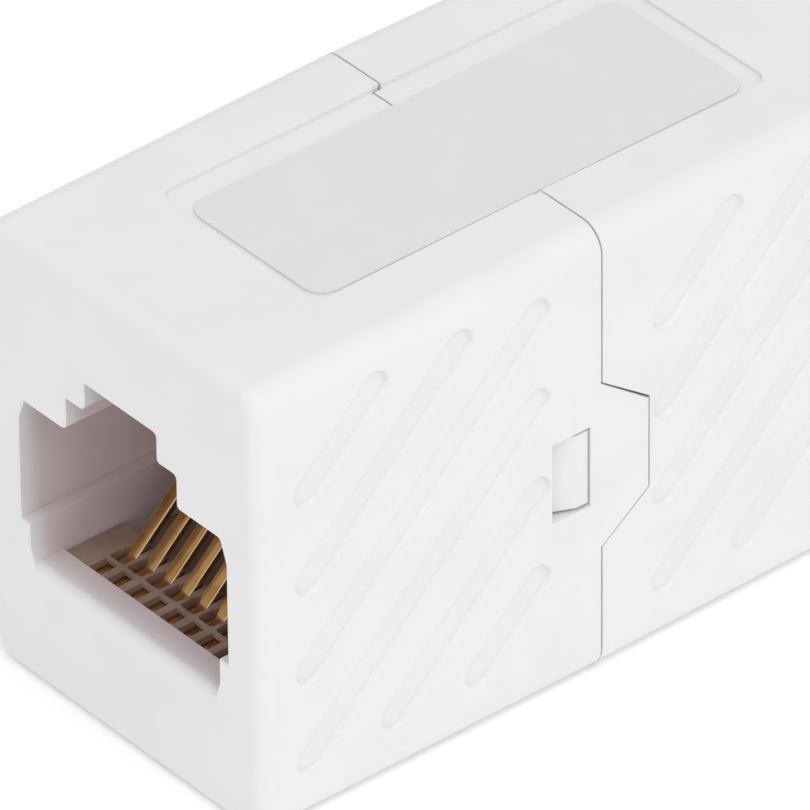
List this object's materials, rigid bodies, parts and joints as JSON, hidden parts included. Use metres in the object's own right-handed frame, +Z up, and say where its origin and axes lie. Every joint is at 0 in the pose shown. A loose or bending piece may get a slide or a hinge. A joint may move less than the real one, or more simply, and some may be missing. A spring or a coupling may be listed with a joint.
{
  "type": "rj45 inline coupler",
  "caption": "White box-shaped inline coupler that joins two network cables end to end, with a stepped modular port in each end and slanted grip grooves on the sides.",
  "frame": {"origin": "middle of the flat bottom, on the seam between the two housing halves", "axes": "+X along the length towards the back port, +Y across, +Z up with the latch tab slots uppermost"},
  "size_m": [0.0324, 0.0158, 0.0199],
  "materials": {
    "housing_white": "satin moulded",
    "label_grey": "smooth film",
    "board_green": "solder mask",
    "carrier_plastic": "satin moulded",
    "gold_plate": "plated"
  },
  "bodies": {
    "root": {"front_housing": "housing_white", "back_housing": "housing_white", "label": "label_grey", "circuit_board": "board_green", "front_contact_carrier": "carrier_plastic", "back_contact_carrier": "carrier_plastic", "front_contact_1": "gold_plate", "front_contact_2": "gold_plate", "front_contact_3": "gold_plate", "front_contact_4": "gold_plate", "front_contact_5": "gold_plate", "front_contact_6": "gold_plate", "front_contact_7": "gold_plate", "front_contact_8": "gold_plate", "back_contact_1": "gold_plate", "back_contact_2": "gold_plate", "back_contact_3": "gold_plate", "back_contact_4": "gold_plate", "back_contact_5": "gold_plate", "back_contact_6": "gold_plate", "back_contact_7": "gold_plate", "back_contact_8": "gold_plate"}
  },
  "joints": []
}
